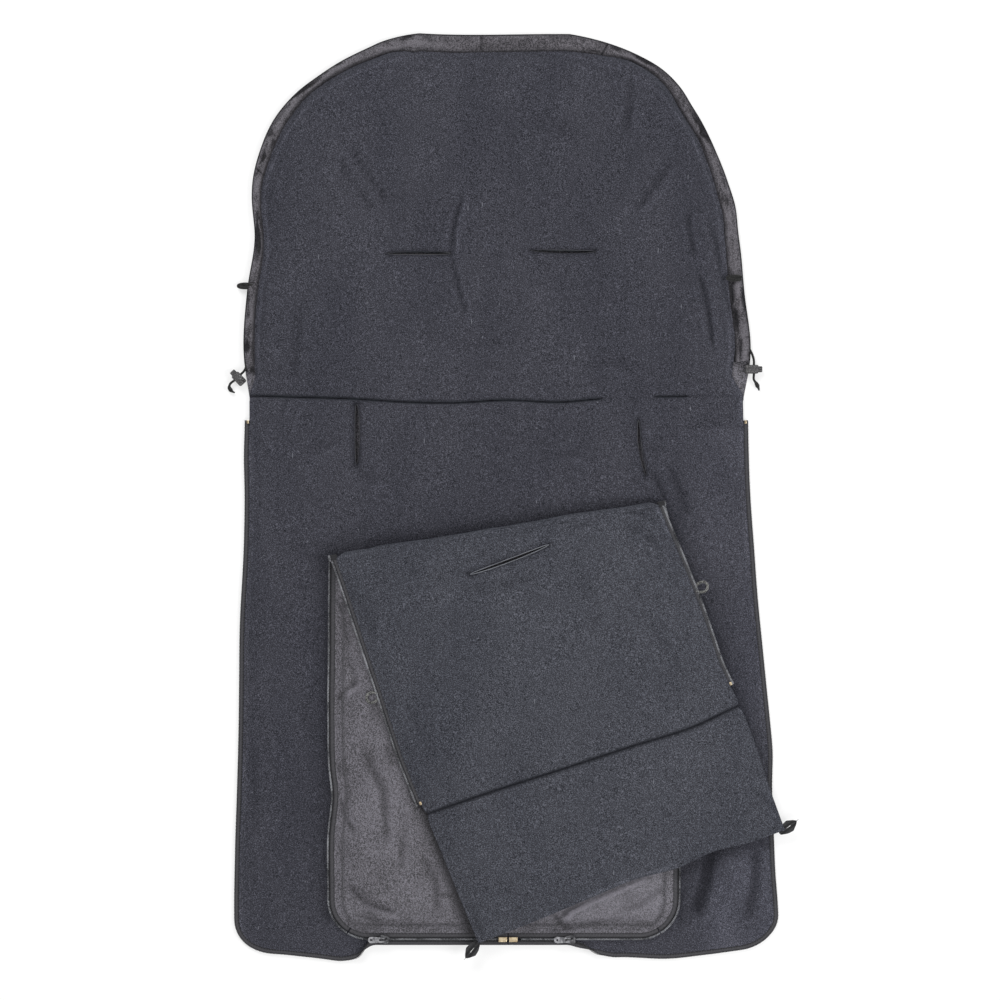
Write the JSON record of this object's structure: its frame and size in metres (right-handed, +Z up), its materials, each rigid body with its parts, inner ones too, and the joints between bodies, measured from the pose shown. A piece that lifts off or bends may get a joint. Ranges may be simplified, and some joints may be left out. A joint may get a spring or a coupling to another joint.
{
  "type": "stroller sleeping bag",
  "caption": "Padded fleece-lined stroller sleeping bag, spread flat, with a drawcord hood, harness slits and a zip-off front cover folded down.",
  "frame": {"origin": "on the underside, in the middle of the bag's length and near the middle of its width", "axes": "+Y along the bag to the hood end, +Z up out of the fleece side, +X to the right seen from above"},
  "size_m": [0.5855, 0.926, 0.0271],
  "materials": {
    "fleece": "short brushed pile, dark blue-grey with pale lint",
    "woven_shell": "smooth water-repellent weave with a faint sheen",
    "wadding": "soft white polyester wadding",
    "zip_tape": "matt black woven tape",
    "zip_coil": "black nylon coil",
    "gilt_metal": "gilt, satin",
    "dark_metal": "dark enamel",
    "pull_metal": "silver, satin",
    "elastic_cord": "black braided elastic",
    "lock_plastic": "speckled grey, matt",
    "spring_steel": "bright wire"
  },
  "bodies": {
    "mat": {"mat_shell": "woven_shell", "mat_wadding": "wadding", "mat_fleece": "fleece", "mat_zip_tape_left": "zip_tape", "mat_zip_tape_right": "zip_tape", "mat_zip_coil_left": "zip_coil", "mat_zip_coil_right": "zip_coil", "mat_zip_stop_left": "gilt_metal", "mat_zip_stop_right": "gilt_metal", "foot_zip_stop_left": "gilt_metal", "foot_zip_stop_right": "gilt_metal", "cover_foot_zip_tape_left": "zip_tape", "cover_foot_zip_tape_right": "zip_tape", "cover_foot_zip_coil_left": "zip_coil", "cover_foot_zip_coil_right": "zip_coil"},
    "head": {"head_shell": "woven_shell", "head_wadding": "wadding", "head_fleece": "fleece", "hood_border": "woven_shell", "hood_drawcord": "elastic_cord", "hood_loop_left": "elastic_cord", "hood_loop_right": "elastic_cord"},
    "cover": {"cover_fleece": "fleece", "cover_wadding": "wadding", "cover_shell": "woven_shell", "cover_zip_tape_left": "zip_tape", "cover_zip_tape_right": "zip_tape", "cover_zip_coil_left": "zip_coil", "cover_zip_coil_right": "zip_coil"},
    "flap": {"flap_shell": "woven_shell", "flap_wadding": "wadding", "flap_fleece": "fleece", "flap_zip_tape_left": "zip_tape", "flap_zip_tape_right": "zip_tape", "flap_zip_coil_left": "zip_coil", "flap_zip_coil_right": "zip_coil", "flap_zip_stop_left": "gilt_metal", "flap_zip_stop_right": "gilt_metal", "flap_loop_left": "elastic_cord", "flap_loop_right": "elastic_cord"},
    "collar": {"collar_shell": "woven_shell", "collar_wadding": "wadding", "collar_fleece": "fleece", "collar_loop_left": "zip_tape", "collar_loop_right": "zip_tape"},
    "slider_left": {"slider_body_left": "dark_metal"},
    "pull_tab_left": {"pull_tab_left": "pull_metal"},
    "cord_lock_left": {"cord_lock_barrel_left": "lock_plastic", "cord_lock_spring_left": "spring_steel"},
    "plunger_left": {"cord_lock_plunger_left": "lock_plastic"},
    "slider_right": {"slider_body_right": "dark_metal"},
    "pull_tab_right": {"pull_tab_right": "pull_metal"},
    "cord_lock_right": {"cord_lock_barrel_right": "lock_plastic", "cord_lock_spring_right": "spring_steel"},
    "plunger_right": {"cord_lock_plunger_right": "lock_plastic"}
  },
  "joints": [
    {"name": "head_fold", "type": "hinge", "parent": "mat", "child": "head", "pos_m": [0, 0.097, 0.0023], "axis": [-1, 0, 0], "range_deg": [-90, 0]},
    {"name": "cover_lift", "type": "hinge", "parent": "mat", "child": "cover", "pos_m": [0, -0.4366, 0.00665], "axis": [1, 0, 0], "range_deg": [0, 35]},
    {"name": "flap_unfold", "type": "hinge", "parent": "cover", "child": "flap", "pos_m": [-0.011, -0.036, 0.01895], "axis": [-0.9869, -0.1616, 0], "range_deg": [0, 179.5]},
    {"name": "collar_fold", "type": "hinge", "parent": "flap", "child": "collar", "pos_m": [0.07573, -0.26193, 0.0214], "axis": [-0.9336, -0.3584, 0], "range_deg": [0, 90]},
    {"name": "slider_left_run", "type": "slide", "parent": "mat", "child": "slider_left", "axis": [1, 0, 0], "range_m": [0, 0.108]},
    {"name": "slider_right_run", "type": "slide", "parent": "mat", "child": "slider_right", "axis": [-1, 0, 0], "range_m": [0, 0.046]},
    {"name": "pull_tab_left_flip", "type": "hinge", "parent": "slider_left", "child": "pull_tab_left", "pos_m": [-0.122, -0.443, 0.00985], "axis": [0, 1, 0], "range_deg": [0, 175]},
    {"name": "pull_tab_right_flip", "type": "hinge", "parent": "slider_right", "child": "pull_tab_right", "pos_m": [0.064, -0.443, 0.00985], "axis": [0, 1, 0], "range_deg": [0, 175]},
    {"name": "cord_lock_left_slide", "type": "slide", "parent": "head", "child": "cord_lock_left", "axis": [-0.7314, -0.682, 0], "range_m": [0, 0.006]},
    {"name": "plunger_left_press", "type": "slide", "parent": "cord_lock_left", "child": "plunger_left", "axis": [0.682, -0.7314, 0], "range_m": [0, 0.0028], "stiffness_N_per_m": 300},
    {"name": "cord_lock_right_slide", "type": "slide", "parent": "head", "child": "cord_lock_right", "axis": [0, -1, 0], "range_m": [0, 0.006]},
    {"name": "plunger_right_press", "type": "slide", "parent": "cord_lock_right", "child": "plunger_right", "axis": [-1, 0, 0], "range_m": [0, 0.0028], "stiffness_N_per_m": 300}
  ]
}
